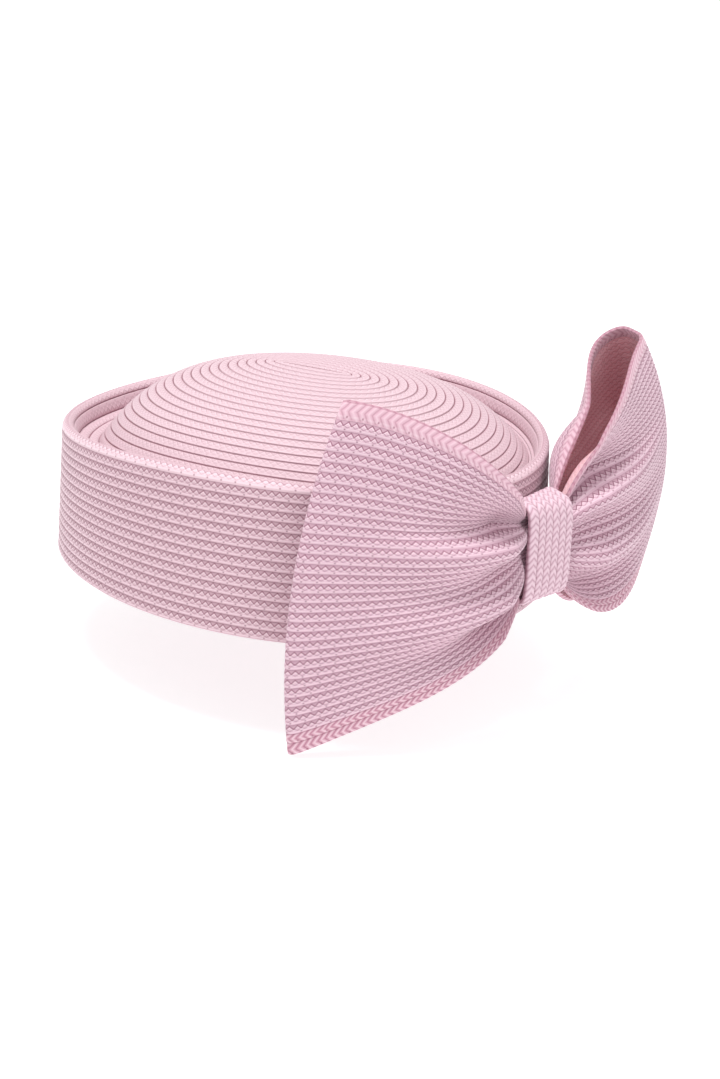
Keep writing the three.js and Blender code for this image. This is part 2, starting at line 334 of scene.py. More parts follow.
@dataclass(frozen=True)
class BraidFinish:
    """Finish of sewn straw braid, dressed by its UV map: plait periods along, rows across."""

    name: str
    straw: Colour = srgb(228, 200, 209)
    edge: Colour = srgb(214, 180, 191)
    shade: Colour = srgb(148, 96, 112)
    thread: Colour = srgb(243, 222, 229)
    plait: Plait = Plait.SCALLOP
    gap: float = 0.08
    tooth: float = 0.38
    cross_place: float = 0.66
    seam: float = 0.07
    seam_shade: float = 0.3
    notch_shade: float = 0.3
    line_shade: float = 0.75
    straw_shine: float = 0.5
    thread_place: float = 0.8
    thread_shine: float = 0.4
    hole_shade: float = 0.7
    streak: float = 0.22
    bump: float = 0.55
    roughness: float = 0.58

    def scallops(self, s: Shader, place: Value, turn: Value) -> tuple[Value, Value, Value]:
        """Marks of a row with teeth along its upper edge.

        Args:
            s: The shader.
            place: Place across the row.
            turn: Place along it, in plait periods.
        Returns:
            The notches between teeth, the lines between straws, and the straws' shine.
        """
        between = ((turn.fract() - 0.5) * 2).abs()
        top = self.gap + self.tooth * between
        above, below = PATTERN.tooth_edge
        notch = 1 - s.step(place, top + above, top + below)
        under = self.cross_place - self.tooth * PATTERN.cross_tooth_share * between
        crossed = (1 - s.step((place - under).abs(), *PATTERN.cross_edge)) * PATTERN.cross_share
        line = 1 - (1 - crossed) * s.step((place - top).abs(), *PATTERN.tooth_line_edge)
        from_straw = (place - top - PATTERN.straw_below_tooth).abs()
        return notch, line, 1 - s.step(from_straw, *PATTERN.straw_edge)

    def chevrons(self, s: Shader, place: Value, turn: Value) -> tuple[Value, Value, Value]:
        """Marks of a row whose straws meet in the middle.

        Args:
            s: The shader.
            place: Place across the row.
            turn: Place along it, in plait periods.
        Returns:
            The gap at its upper edge, the lines between straws, and the straws' shine.
        """
        notch = 1 - s.step(place, self.gap, self.gap + PATTERN.chevron_gap_edge)
        crossing = ((place - 0.5).abs() * PATTERN.chevron_slope + turn).fract()
        strand = ((crossing - 0.5) * 2).abs()
        inside_row = 1 - s.step(place, *PATTERN.chevron_end_edge)
        line = s.step(strand, *PATTERN.chevron_line_edge) * inside_row
        return notch, line, 1 - s.step(strand, *PATTERN.chevron_straw_edge)

    def material(self) -> bpy.types.Material:
        """Builds the node tree.

        Returns:
            The material.
        """
        s = Shader(self.name)
        uv = s.node("ShaderNodeUVMap", {"uv_map": BRAID_MAP})
        parts = s.node("ShaderNodeSeparateXYZ", None, s.out(uv, "UV"))
        along, across = s.out(parts, "X"), s.out(parts, "Y")
        row = across.floor()
        wander = s.noise(along * PATTERN.wander_scale, row * PATTERN.wander_by_row) - 0.5
        place = across.fract() + wander * PATTERN.wander_across
        turn = along + wander * PATTERN.wander_along + row * PATTERN.row_shift

        marks = self.scallops if self.plait is Plait.SCALLOP else self.chevrons
        notch, line, straw = marks(s, place, turn)
        seam = 1 - s.step(place, 0.0, self.seam)
        thread = 1 - s.step((place - self.thread_place).abs(), *PATTERN.thread_edge)
        stitches = along * PATTERN.stitches_per_period + row * PATTERN.stitch_row_shift
        from_stitch = (stitches.fract() - 0.5).abs()
        hole = (1 - s.step(from_stitch, *PATTERN.hole_edge)) * thread
        lower = s.step(place, *PATTERN.lower_edge)

        streak_v = row * PATTERN.streak_by_row + place * PATTERN.streak_across
        streaks = s.noise(along * PATTERN.streak_along, streak_v, PATTERN.streak_detail) - 0.5
        fibres = s.noise(along * PATTERN.fibre_along, across * PATTERN.fibre_across) - 0.5
        tone = (streaks * self.streak * 2 + fibres * PATTERN.fibre_tone + 0.5).clamp()

        colour = s.blend(tone, self.edge, self.straw)
        layers = (
            (lower, PATTERN.lower_share, self.edge),
            (straw, self.straw_shine, self.thread),
            (thread, self.thread_shine, self.thread),
            (notch, self.notch_shade, self.shade),
            (line, self.line_shade, self.shade),
            (hole, self.hole_shade, self.shade),
            (seam, self.seam_shade, self.shade),
        )
        for mask, share, cover in layers:
            colour = s.blend(mask * share, colour, cover)

        height = PATTERN.level
        rises = (
            (notch, PATTERN.notch_rise),
            (line, PATTERN.line_rise),
            (straw, PATTERN.straw_rise),
            (thread, PATTERN.thread_rise),
            (hole, PATTERN.hole_rise),
            (seam, PATTERN.seam_rise),
            (fibres, PATTERN.fibre_rise),
        )
        for mask, rise in rises:
            height = height + mask * rise
        bump = s.node(
            "ShaderNodeBump",
            None,
            Strength=self.bump,
            Distance=PATTERN.bump_depth * MM,
            Height=height,
        )
        rough = self.roughness + line * PATTERN.line_roughness - thread * PATTERN.thread_polish
        return s.finish(
            Base_Color=colour,
            Roughness=rough.clamp(),
            Normal=s.out(bump),
            Sheen_Weight=PATTERN.sheen,
            Sheen_Roughness=PATTERN.sheen_roughness,
            Specular_IOR_Level=PATTERN.specular,
        )


# Rows of braid as meshes


@dataclass(frozen=True)
class RowProfile:
    """Section of one row. Places run from 0 at its upper edge, tucked under the row above, to 1."""

    places: tuple[float, ...]
    proud: tuple[float, ...]

    def stations(self, rows: int, first: int = 0) -> tuple[np.ndarray, np.ndarray]:
        """Every ring of a stretch of rows.

        Args:
            rows: How many rows.
            first: The first row's number.
        Returns:
            Each ring's place in rows, and how proud it stands.
        """
        places = np.concatenate([np.array(self.places) + first + r for r in range(rows)])
        return places, np.tile(self.proud, rows)


SHINGLE = RowProfile(places=(0.0, 0.09, 0.32, 0.64, 0.93), proud=(-0.16, -0.06, 0.06, 0.04, 0.12))
FLAT_ROW = RowProfile(places=(0.0, 0.1, 0.4, 0.92), proud=(-0.42, 0.0, 0.1, 0.06))
INSIDE_ROW = RowProfile(places=(0.0, 0.2, 0.85), proud=(-0.25, 0.05, 0.05))
BAND_ROW = RowProfile(places=(0.0, 0.12, 0.5, 0.92), proud=(-0.14, -0.02, 0.08, 0.12))
KNOT_ROW = RowProfile(places=(0.0, 0.1, 0.35, 0.7, 0.93), proud=(-0.5, 0.0, 0.3, 0.25, 0.05))


class RingMesh:
    """A closed surface of rings, each joined to the next, with plait periods for its UV map."""

    def __init__(self) -> None:
        """Starts with no ring."""
        self.rings: list[np.ndarray] = []
        self.places: list[float] = []
        self.slots: list[int] = []

    def add(self, rings: np.ndarray, places: Measure, slots: int | np.ndarray) -> None:
        """Adds rings in order.

        Args:
            rings: The rings, with the same points round each.
            places: The place in rows of each, or of all.
            slots: The material slot of each, or of all.
        """
        self.rings.extend(rings)
        self.places.extend(np.broadcast_to(places, len(rings)))
        self.slots.extend(np.broadcast_to(slots, len(rings)))

    def build(self, name: str, closed: bool, pole: bool) -> bpy.types.Object:
        """Makes the object.

        Args:
            name: Its name.
            closed: True if the last ring joins the first.
            pole: True if the first and last ring are seams, whose two sides are one.
        Returns:
            The object, with normals outwards and crisp row edges.
        """
        points = np.array(self.rings)
        count, columns = points.shape[:2]
        index = np.arange(count * columns).reshape(count, columns)
        if pole:
            fold = np.minimum(np.arange(columns), (columns - np.arange(columns)) % columns)
            index[0] = index[0][fold]
            index[-1] = index[-1][fold]
        here = np.arange(count if closed else count - 1)
        after = (here + 1) % count
        turn = (np.arange(columns) + 1) % columns
        quads = np.stack(
            [index[here], index[here][:, turn], index[after][:, turn], index[after]], axis=-1
        )
        corners = quads.reshape(-1, 4)
        uv = self._braid_map(points, here, after, turn).reshape(-1, 4, 2)

        p, q, r = points[here], points[here][:, turn], points[after]
        volume = np.einsum("ijk,ijk->", p, np.cross(q, r)) + np.einsum(
            "ijk,ijk->", q, np.cross(points[after][:, turn], r)
        )
        if volume < 0:
            corners = corners[:, ::-1]
            uv = uv[:, ::-1]
        mesh = bpy.data.meshes.new(name)
        mesh.from_pydata((points.reshape(-1, 3) * MM).tolist(), [], corners.tolist())
        layer = mesh.uv_layers.new(name=BRAID_MAP)
        layer.data.foreach_set("uv", uv.astype(np.float32).ravel())
        mesh.polygons.foreach_set("material_index", np.repeat(np.array(self.slots)[here], columns))
        piece = bpy.data.objects.new(name, mesh)
        bpy.context.scene.collection.objects.link(piece)
        return shaded(piece)

    def _braid_map(
        self, points: np.ndarray, here: np.ndarray, after: np.ndarray, turn: np.ndarray
    ) -> np.ndarray:
        """Plait periods along and rows across, at each face's corners.

        Args:
            points: All rings.
            here: The first ring of each strip of faces.
            after: Its second ring.
            turn: The next point of each point round a ring.
        Returns:
            Four pairs for each face.
        """
        start = np.array(self.places)[here]
        end = np.array(self.places)[after]
        whole = np.floor(np.minimum(start, end))
        start = np.minimum(start, whole + ROW_END)
        end = np.minimum(end, whole + ROW_END)
        middle = (points[here] + points[after]) / 2
        steps = np.linalg.norm(middle[:, turn] - middle, axis=-1)
        along = np.concatenate([np.zeros((len(here), 1)), np.cumsum(steps, axis=1)], axis=1)
        along = self._shared(along, whole)
        u0, u1 = along[:, :-1], along[:, 1:]
        v0 = np.repeat(start[:, None], len(turn), axis=1)
        v1 = np.repeat(end[:, None], len(turn), axis=1)
        return np.stack([u0, v0, u1, v0, u1, v1, u0, v1], axis=-1)

    @staticmethod
    def _shared(along: np.ndarray, rows: np.ndarray) -> np.ndarray:
        """Gives all strips of a row the same plait periods, a whole number round the ring.

        Args:
            along: Lengths along each strip.
            rows: The row of each strip.
        Returns:
            Plait periods along each strip.
        """
        out = np.zeros_like(along)
        first = 0
        for k in range(1, len(rows) + 1):
            if k == len(rows) or rows[k] != rows[first]:
                mean = along[first:k].mean(axis=0)
                periods = max(1, round(mean[-1] / PLAIT_PERIOD))
                out[first:k] = mean / max(mean[-1], TINY) * periods
                first = k
        return out


def shaded(piece: bpy.types.Object) -> bpy.types.Object:
    """Removes a piece's loose points and shades it smooth but for its crisp edges.

    Args:
        piece: The piece.
    Returns:
        The same piece.
    """
    bpy.ops.object.select_all(action="DESELECT")
    piece.select_set(True)
    bpy.context.view_layer.objects.active = piece
    bpy.ops.object.mode_set(mode="EDIT")
    bpy.ops.mesh.select_all(action="SELECT")
    bpy.ops.mesh.delete_loose()
    bpy.ops.object.mode_set(mode="OBJECT")
    bpy.ops.object.shade_smooth_by_angle(angle=math.radians(CRISP_ANGLE))
    piece.select_set(False)
    return piece


def raised(rings: np.ndarray, proud: np.ndarray, outward: float) -> np.ndarray:
    """Rings moved along their surface's normal.

    Args:
        rings: Rings of points of a smooth surface.
        proud: How far each ring moves.
        outward: 1 or -1, the side that proud is measured on.
    Returns:
        The moved rings.
    """
    round_it = np.roll(rings, -1, axis=1) - np.roll(rings, 1, axis=1)
    across = np.gradient(rings, axis=0)
    normal = unit(np.cross(round_it, across))
    return rings + normal * (proud[:, None, None] * outward)


def finish_piece(
    piece: bpy.types.Object, node: str, finishes: tuple[BraidFinish, ...]
) -> bpy.types.Object:
    """Dresses a piece, lets it ride on the frame and stand for its CAD node.

    Args:
        piece: The made piece.
        node: The CAD node that it replaces.
        finishes: Its finishes in the order of its slots.
    Returns:
        The piece.
    """
    for finish in finishes:
        piece.data.materials.append(finish.material())
    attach(piece, "root")
    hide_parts(node)
    faces = sum(len(p.vertices) - 2 for p in piece.data.polygons)
    log.info("%s: %d triangles", piece.name, faces)
    return piece


# Finishes of the pieces

DOME_STRAW = BraidFinish(
    "dome_straw",
    straw=srgb(216, 188, 196),
    edge=srgb(207, 176, 185),
    shade=srgb(126, 64, 80),
    seam=0.15,
    seam_shade=0.95,
    notch_shade=0.03,
    line_shade=0.22,
    straw_shine=0.3,
    thread_shine=0.15,
    hole_shade=0.25,
    bump=0.3,
)
# Painted light: the rim row's straw is lighter than the wall's, standing in for the light that the
# rim catches from above.
RIM_LIT_STRAW = BraidFinish(
    "rim_lit_straw", straw=srgb(232, 203, 212), edge=srgb(222, 190, 200), line_shade=0.5, seam_shade=0.5
)
WALL_STRAW = BraidFinish(
    "wall_straw", straw=srgb(218, 187, 197), edge=srgb(198, 162, 174), shade=srgb(132, 82, 98)
)
INSIDE_STRAW = BraidFinish("inside_straw", straw=srgb(222, 192, 202), edge=srgb(208, 172, 184))
BOW_STRAW = BraidFinish(
    "bow_straw",
    straw=srgb(224, 190, 204),
    edge=srgb(207, 170, 186),
    shade=srgb(132, 74, 96),
    gap=0.1,
)
# Painted light: the insides of the loops are a lighter copy of the bow's straw, with lighter and
# weaker painted shade, so that they read brighter than their lighting makes them.
BOW_INSIDE_LIT_STRAW = BraidFinish(
    "bow_inside_lit_straw",
    straw=srgb(254, 208, 214),
    edge=srgb(244, 190, 198),
    shade=srgb(176, 100, 114),
    notch_shade=0.2,
    line_shade=0.45,
)
HEM_STRAW = BraidFinish(
    "bow_hem_straw",
    straw=srgb(222, 184, 197),
    edge=srgb(212, 168, 184),
    shade=srgb(154, 92, 112),
    plait=Plait.CHEVRON,
    gap=0.02,
    line_shade=0.35,
    straw_shine=0.3,
    thread_shine=0.25,
)
FOOT_STRAW = BraidFinish(
    "bow_foot_straw",
    straw=srgb(214, 168, 184),
    edge=srgb(202, 150, 168),
    shade=srgb(148, 82, 104),
    plait=Plait.CHEVRON,
    gap=0.03,
    line_shade=0.5,
    thread_shine=0.25,
)
KNOT_STRAW = BraidFinish(
    "knot_straw",
    straw=srgb(224, 194, 206),
    edge=srgb(212, 178, 192),
    shade=srgb(150, 98, 116),
    plait=Plait.CHEVRON,
    gap=0.03,
    line_shade=0.45,
    straw_shine=0.35,
    thread_place=0.96,
)


# The crown


class CrownFace(IntEnum):
    """Material slots of the crown."""

    TOP = 0
    WALL = 1
    INSIDE = 2
    RIM = 3


@dataclass
class Crown:
    """The crown: side wall, rolled rim, trough and domed tip in one spiral of braid.

    The oval is an egg, wider at the bow. The wall's top slopes up to the bow and is saddled, lower
    at both ends. The trough lies between the rim's crest and the dome.
    """

    length: float = 193.4
    width: float = 166.6
    wall_height: float = 51.7
    wall_taper: float = 1.8
    straw: float = 2.0
    egg: float = 0.06
    egg_shoulder: float = 0.01
    slope_rise: float = 3.1
    saddle_rise: float = 3.5
    crest_rise: float = 2.85
    crest_run: float = 2.3
    rim_shoulder: float = 0.3
    trough_depth: float = 8.0
    trough_wall_run: float = 4.1
    trough_wall_ease: float = 3.2
    trough_floor_rise: float = 0.1
    trough_floor_power: int = 3
    trough_curve: tuple[tuple[float, float], ...] = ((0.5, 0.0), (0.85, 0.5), (1.0, 0.9))
    dome_gap_at_bow: float = 8.8
    dome_gap_at_sides: float = 12.0
    dome_gap_at_far_end: float = 16.7
    dome_top: float = 76.2
    round_power: float = 1.62
    shoulder_power: float = 4.85
    shoulder_share: float = 0.48
    edge_round: float = 0.35
    edge_drop: float = 0.15
    inner_edge_round: float = 0.3
    inner_edge_drop: float = 0.1
    columns: int = 288
    dome_rows: int = 22
    floor_rows: int = 2
    trough_rows: int = 2
    rim_rows: int = 1
    wall_rows: int = 15
    inside_wall_rows: int = 11
    angles: np.ndarray = field(init=False)
    half_length: float = field(init=False)
    half_width: float = field(init=False)
    dome_half_length: float = field(init=False)
    dome_half_width: float = field(init=False)
    dome_shift: float = field(init=False)

    def __post_init__(self) -> None:
        """Works out the angles round the oval and the dome's own oval."""
        self.angles = np.arange(self.columns) / self.columns * TAU
        self.half_length = self.length / 2
        self.half_width = self.width / 2
        mean_gap = (self.dome_gap_at_bow + self.dome_gap_at_far_end) / 2
        self.dome_half_length = self.half_length - mean_gap
        self.dome_half_width = self.half_width - self.dome_gap_at_sides
        self.dome_shift = (self.dome_gap_at_bow - self.dome_gap_at_far_end) / 2

    def bulge(self, angle: Measure, egg: float) -> Measure:
        """How much wider than an ellipse the egg is at an angle from the bow."""
        return 1 + egg * (self.egg * np.cos(angle) + self.egg_shoulder * np.cos(2 * angle))

    def oval(
        self, half_length: Measure, half_width: Measure, egg: float, height: Measure
    ) -> np.ndarray:
        """A ring of the crown, its first point at the bow.

        Args:
            half_length: Half its length.
            half_width: Half its width.
            egg: 1 for the full egg shape and 0 for an ellipse.
            height: Its height, or one for each point.
        Returns:
            The ring.
        """
        x = -half_width * np.sin(self.angles) * self.bulge(self.angles, egg)
        y = -half_length * np.cos(self.angles)
        return np.stack([x, y, np.broadcast_to(height, x.shape)], axis=-1)

    def inset(self, inset: float, height: Measure) -> np.ndarray:
        """A ring inside the wall's lower edge by an inset."""
        return self.oval(self.half_length - inset, self.half_width - inset, 1, height)

    def rim_height_at(self, angle: Measure) -> Measure:
        """Height of the wall's top at an angle from the bow."""
        slope = self.slope_rise * np.cos(angle)
        return self.wall_height + slope - self.saddle_rise * np.cos(2 * angle)

    def rim_height(self) -> np.ndarray:
        """Height of the wall's top all round."""
        return self.rim_height_at(self.angles)

    def crest(self) -> np.ndarray:
        """The highest line of the rim."""
        return self.inset(self.wall_taper + self.crest_run, self.rim_height() + self.crest_rise)

    def fall(self, share: Measure) -> Measure:
        """How far the dome has fallen at a share of the way out."""
        return mix(share**self.round_power, share**self.shoulder_power, self.shoulder_share)

    def dome(
        self, share: float, foot: np.ndarray, lowered: float = 0.0, inward: float = 0.0
    ) -> np.ndarray:
        """A ring of the dome.

        Args:
            share: 0 at its middle and 1 at its foot.
            foot: Height of the foot all round.
            lowered: How far below the outer surface its top is.
            inward: How far inside the outer surface it is.
        Returns:
            The ring.
        """
        top = self.dome_top - lowered
        start = self.dome_half_length - self.dome_half_width
        ring = self.oval(
            start + self.dome_half_width * share - inward,
            self.dome_half_width * share - inward,
            share,
            top - (top - foot) * self.fall(share),
        )
        ring[:, 1] += self.dome_shift
        return ring

    def dome_share(self, place: float) -> float:
        """Share of the way out after a share of the dome's section.

        Args:
            place: 0 at the dome's middle and 1 at its foot, measured along its surface.
        Returns:
            The share of its half width.
        """
        share = np.linspace(0, 1, ARC_SAMPLES)
        drop = self.dome_top - self.crest()[:, 2].mean() + self.trough_depth
        steps = np.hypot(np.diff(share) * self.dome_half_width, np.diff(self.fall(share)) * drop)
        arc = np.concatenate([[0], np.cumsum(steps)])
        return float(np.interp(place, arc / arc[-1], share))

    def trough(self, run: float, drop: float, on_floor: bool) -> np.ndarray:
        """A ring of the trough.

        Args:
            run: Share of the way from the crest over the wall, or from there over the floor.
            drop: Share of its depth.
            on_floor: True on the floor and False on the wall.
        Returns:
            The ring.
        """
        lip = self.crest()
        foot = self.dome(1.0, lip[:, 2] - self.trough_depth)
        width = np.hypot(*(foot - lip)[:, :2].T)
        ease = 1 - np.exp(-width / self.trough_wall_ease)
        wall = self.trough_wall_run * ease / width
        share = (mix(wall, 1, run) if on_floor else wall * run)[:, None]
        ring = lip + (foot - lip) * share
        ring[:, 2] = lip[:, 2] - self.trough_depth * drop
        return ring

    def outer_ring(self, place: float) -> np.ndarray:
        """A ring of the outer surface.

        Args:
            place: Its place counted in rows from the middle of the tip.
        Returns:
            The ring.
        """
        foot = self.crest()[:, 2] - self.trough_depth
        if place <= self.dome_rows:
            return self.dome(self.dome_share(place / self.dome_rows), foot)
        place -= self.dome_rows
        if place <= self.floor_rows:
            share = 1 - place / self.floor_rows
            rise = self.trough_floor_rise * (1 - share) ** self.trough_floor_power
            return self.trough(share, 1.0 - rise, True)
        place -= self.floor_rows
        if place <= self.trough_rows:
            t = 1 - place / self.trough_rows
            weights = (3 * (1 - t) ** 2 * t, 3 * (1 - t) * t**2, t**3)
            run, drop = (
                sum(weight * point[k] for weight, point in zip(weights, self.trough_curve))
                for k in (0, 1)
            )
            return self.trough(run, drop, False)
        place -= self.trough_rows
        if place <= self.rim_rows:
            t = place / self.rim_rows
            inset = mix(mix(self.crest_run, self.rim_shoulder, t), mix(self.rim_shoulder, 0, t), t)
            height = self.rim_height() + self.crest_rise * (1 - t * t)
            return self.inset(inset + self.wall_taper, height)
        share = 1 - (place - self.rim_rows) / self.wall_rows
        return self.inset(self.wall_taper * share, self.rim_height() * share)

    def inner_ring(self, place: float) -> np.ndarray:
        """A ring of the inner surface.

        Args:
            place: Its place counted in rows from the middle of the tip.
        Returns:
            The ring.
        """
        ceiling = self.crest()[:, 2] - self.trough_depth - self.straw
        if place <= self.dome_rows:
            share = self.dome_share(place / self.dome_rows)
            slope = (self.fall(share) - self.fall(max(share - SLOPE_STEP, 0))) / SLOPE_STEP
            slope *= (self.dome_top - ceiling.mean() - self.straw) / self.dome_half_width
            inward = self.straw * slope / math.hypot(1, slope) * share
            return self.dome(share, ceiling, self.straw, inward)
        share = 1 - (place - self.dome_rows) / self.inside_wall_rows
        height = ceiling * share
        inset = self.straw + self.wall_taper * height / self.rim_height()
        return self.oval(self.half_length - inset, self.half_width - inset, 1, height)

    def build(self) -> bpy.types.Object:
        """Makes the crown with all its rows, outside and inside.

        Returns:
            The piece.
        """
        mesh = RingMesh()
        top_rows = self.dome_rows + self.floor_rows + self.trough_rows
        stretches = (
            (top_rows, FLAT_ROW, 0, CrownFace.TOP),
            (self.rim_rows, SHINGLE, top_rows, CrownFace.RIM),
            (self.wall_rows, SHINGLE, top_rows + self.rim_rows, CrownFace.WALL),
        )
        stations = [profile.stations(rows, first) for rows, profile, first, _ in stretches]
        places, proud = (np.concatenate(column) for column in zip(*stations))
        slots = np.concatenate(
            [np.full(len(at), row[-1]) for (at, _), row in zip(stations, stretches)]
        )
        outer = raised(np.array([self.outer_ring(place) for place in places]), proud, 1.0)
        outer[0] = self.outer_ring(0.0)
        mesh.add(outer, places, slots)

        end = top_rows + self.rim_rows + self.wall_rows - 1 + ROW_END
        outer_edge = self.inset(self.edge_round, -self.edge_drop)
        inner_edge = self.inset(self.straw - self.inner_edge_round, -self.inner_edge_drop)
        mesh.add(np.array([outer_edge, inner_edge]), end, CrownFace.WALL)

        places, proud = INSIDE_ROW.stations(self.dome_rows + self.inside_wall_rows)
        inner = raised(np.array([self.inner_ring(place) for place in places]), proud, -1.0)
        inner[0] = self.inner_ring(0.0)
        mesh.add(inner[::-1], places[::-1], CrownFace.INSIDE)
        piece = mesh.build("crown_braid", closed=False, pole=True)
        finishes = (DOME_STRAW, WALL_STRAW, INSIDE_STRAW, RIM_LIT_STRAW)
        return finish_piece(piece, "crown", finishes)


# The bow


@dataclass(frozen=True)
class Loop:
    """Sizes of one loop of the bow, as in the solids.

    A flare is the power with which an edge rises out of the knot. The curl, sway, back belly and
    heel move the back layer alone: its top edge at mid-length, its top edge to and fro, its middle
    rows, and its upper rows beside the knot.
    """

    side: int
    reach: float
    top_reach: float
    foot_reach: float
    bend_height: float
    lift: float
    opening: float
    edge_opening: float
    belly: float
    sweep: float
    lean: float
    top_flare: float
    foot_flare: float
    bend_round: float = 0.5
    curl: float = 0.0
    sway: float = 0.0
    back_belly: float = 0.0
    heel: float = 0.0


LEFT = Loop(
    side=-1,
    reach=96.0,
    top_reach=79.2,
    foot_reach=95.8,
    bend_height=128.5,
    lift=-1.0,
    opening=6.1,
    edge_opening=4.7,
    belly=9.0,
    sweep=14.4,
    lean=0.0,
    top_flare=1.5,
    foot_flare=0.98,
)
RIGHT = Loop(
    side=1,
    reach=97.8,
    top_reach=77.0,
    foot_reach=88.0,
    bend_height=84.0,
    lift=20.8,
    opening=13.2,
    edge_opening=8.5,
    belly=0.0,
    sweep=16.0,
    lean=6.0,
    top_flare=3.8,
    foot_flare=5.0,
    bend_round=0.24,
    curl=-1.5,
    sway=7.0,
    back_belly=6.5,
    heel=9.0,
)


@dataclass(frozen=True)
class Pleat:
    """A crest or valley of the band, at a row from 1 at the top edge to -1 at the foot.

    Gathered is the row's place in the knot. Out is how far forward it stands in the knot, and free
    how far past the knot, in pleat depths.
    """

    row: float
    gathered: float
    out: float
    free: float


class PleatMeasure(Enum):
    """What is read off the pleats between their rows."""

    GATHERED = "gathered"
    OUT = "out"
    FREE = "free"


class BandFace(IntEnum):
    """Material slots of the band."""

    FRONT = 0
    HEM = 1
    FOOT = 2
    INSIDE = 3


@dataclass
class Bow:
    """The bow: one sewn band pinched by a strip. Places are aside, forward and up of the knot.

    Hem rows are the widths of the two edge rows, in plain rows. The edge measures close the meshes
    along the band's top edge and the strip's two side edges.
    """

    crown: Crown
    wall: float = 1.5
    gathered_height: float = 31.0
    layer_gap: float = 3.7
    pleat_depth: float = 2.6
    fold_depth: float = 10.5
    fold_growth: float = 5.0
    fold_ease: float = 1.5
    gather_power: int = 3
    back_fold_share: float = 0.2
    belly_place: float = 0.7
    back_belly_power: int = 4
    curl_power: int = 3
    heel_span: float = 0.36
    heel_hem_share: float = 0.65
    heel_hem_power: int = 8
    strip_width: float = 22.0
    strip_wall: float = 1.5
    strip_back_rise: float = 2.0
    strip_squareness: float = 5.0
    strip_edge_layer: float = 0.2
    strip_inside_share: float = 0.98
    clearance: float = 0.4
    knot_height: float = 27.0
    seat_angle: float = 3.5
    seat_gap: float = 0.9
    left_share: float = 0.62
    turned: float = 21.0
    steps_per_layer: int = 60
    steps_in_knot: int = 4
    strip_steps: int = 120
    rows: int = 35
    hem_rows: float = 1.7
    foot_hem_rows: float = 1.35
    foot_finish_rows: int = 2
    top_edge_rise: float = 0.35
    strip_row_ends: tuple[float, ...] = (0.0, 0.21, 0.37, 0.53, 0.69, 0.85, 1.0)
    pleats: tuple[Pleat, ...] = (
        Pleat(1.0, 1.0, 0.1, 0.55),
        Pleat(0.36, 0.8, -1.0, -1.25),
        Pleat(0.17, 0.55, 0.9, 0.85),
        Pleat(-0.08, 0.14, -0.55, -0.5),
        Pleat(-0.36, -0.35, 0.85, 0.9),
        Pleat(-0.6, -0.8, -0.7, -1.0),
        Pleat(-1.0, -1.0, 0.05, 0.45),
    )
    forward: np.ndarray = field(init=False)
    aside: np.ndarray = field(init=False)
    knot_depth: float = field(init=False)
    band_front: float = field(init=False)
    mouth: float = field(init=False)
    centre: np.ndarray = field(init=False)

    def __post_init__(self) -> None:
        """Works out the knot's place and the two ways of the bow."""
        turn = math.radians(self.turned)
        self.forward = np.array([-math.sin(turn), -math.cos(turn), 0.0])
        self.aside = np.array([math.cos(turn), -math.sin(turn), 0.0])
        gap = self.layer_gap / 2 + self.wall
        self.knot_depth = gap + self.pleat_depth + self.clearance + self.strip_wall
        self.band_front = self.knot_depth - self.strip_wall - self.clearance - self.wall / 2
        self.mouth = self.strip_width / 2 + self.clearance
        self.centre = self._centre()

    def _centre(self) -> np.ndarray:
        """Middle of the knot, seated on the wall.

        Returns:
            The point.
        """
        crown, angle = self.crown, math.radians(self.seat_angle)
        inset = crown.wall_taper * self.knot_height / crown.rim_height_at(angle)
        half_width = (crown.half_width - inset) * crown.bulge(angle, 1)
        x = -half_width * math.sin(angle)
        y = -(crown.half_length - inset) * math.cos(angle)
        seat = np.array([x, y, self.knot_height])
        return seat + self.forward * (self.seat_gap + self.knot_depth * self.left_share)

    def place(self, aside: Measure, forward: Measure, up: Measure) -> np.ndarray:
        """Points from their places.

        Args:
            aside: How far to the side of the knot's middle.
            forward: How far in front of it.
            up: How far above it.
        Returns:
            The points.
        """
        aside, forward, up = np.broadcast_arrays(aside, forward, up)
        points = aside[..., None] * self.aside + forward[..., None] * self.forward
        return self.centre + points + np.stack([0 * up, 0 * up, up], axis=-1)

    def knot_share(self, aside: Measure) -> Measure:
        """How thick the knot is at a place aside, as a share of its full side."""
        return mix(self.left_share, 1, np.clip(aside / self.strip_width + 0.5, 0, 1))

    def pleat(self, row: np.ndarray, measure: PleatMeasure) -> np.ndarray:
        """A measure of the pleats.

        Args:
            row: Rows from 1 at the top edge to -1 at the foot.
            measure: The measure, which runs straight for gathered and eased for the others.
        Returns:
            Its value at each row.
        """
        rows = np.array([pleat.row for pleat in self.pleats])
        values = np.array([getattr(pleat, measure.value) for pleat in self.pleats])
        k = np.clip(np.searchsorted(-rows, -row, side="right") - 1, 0, len(rows) - 2)
        share = (rows[k] - row) / (rows[k] - rows[k + 1])
        eased = share if measure is PleatMeasure.GATHERED else smooth(share)
        return mix(values[k], values[k + 1], eased)

    def loop_angle(self, step: np.ndarray, reach: np.ndarray) -> np.ndarray:
        """Angle round a loop, from the knot in front to the knot behind.

        Args:
            step: Steps from the knot in front.
            reach: The loop's reach.
        Returns:
            The angle, 0 in front and a full turn behind.
        """
        near = np.minimum(step, 2 * self.steps_per_layer - step)
        in_knot = np.minimum(1, near / self.steps_in_knot)
        mouth = np.arccos(1 - 2 * self.mouth * in_knot / reach)
        outside = np.maximum(0, near - self.steps_in_knot)
        angle = mix(mouth, math.pi, outside / (self.steps_per_layer - self.steps_in_knot))
        return np.where(step > self.steps_per_layer, TAU - angle, angle)

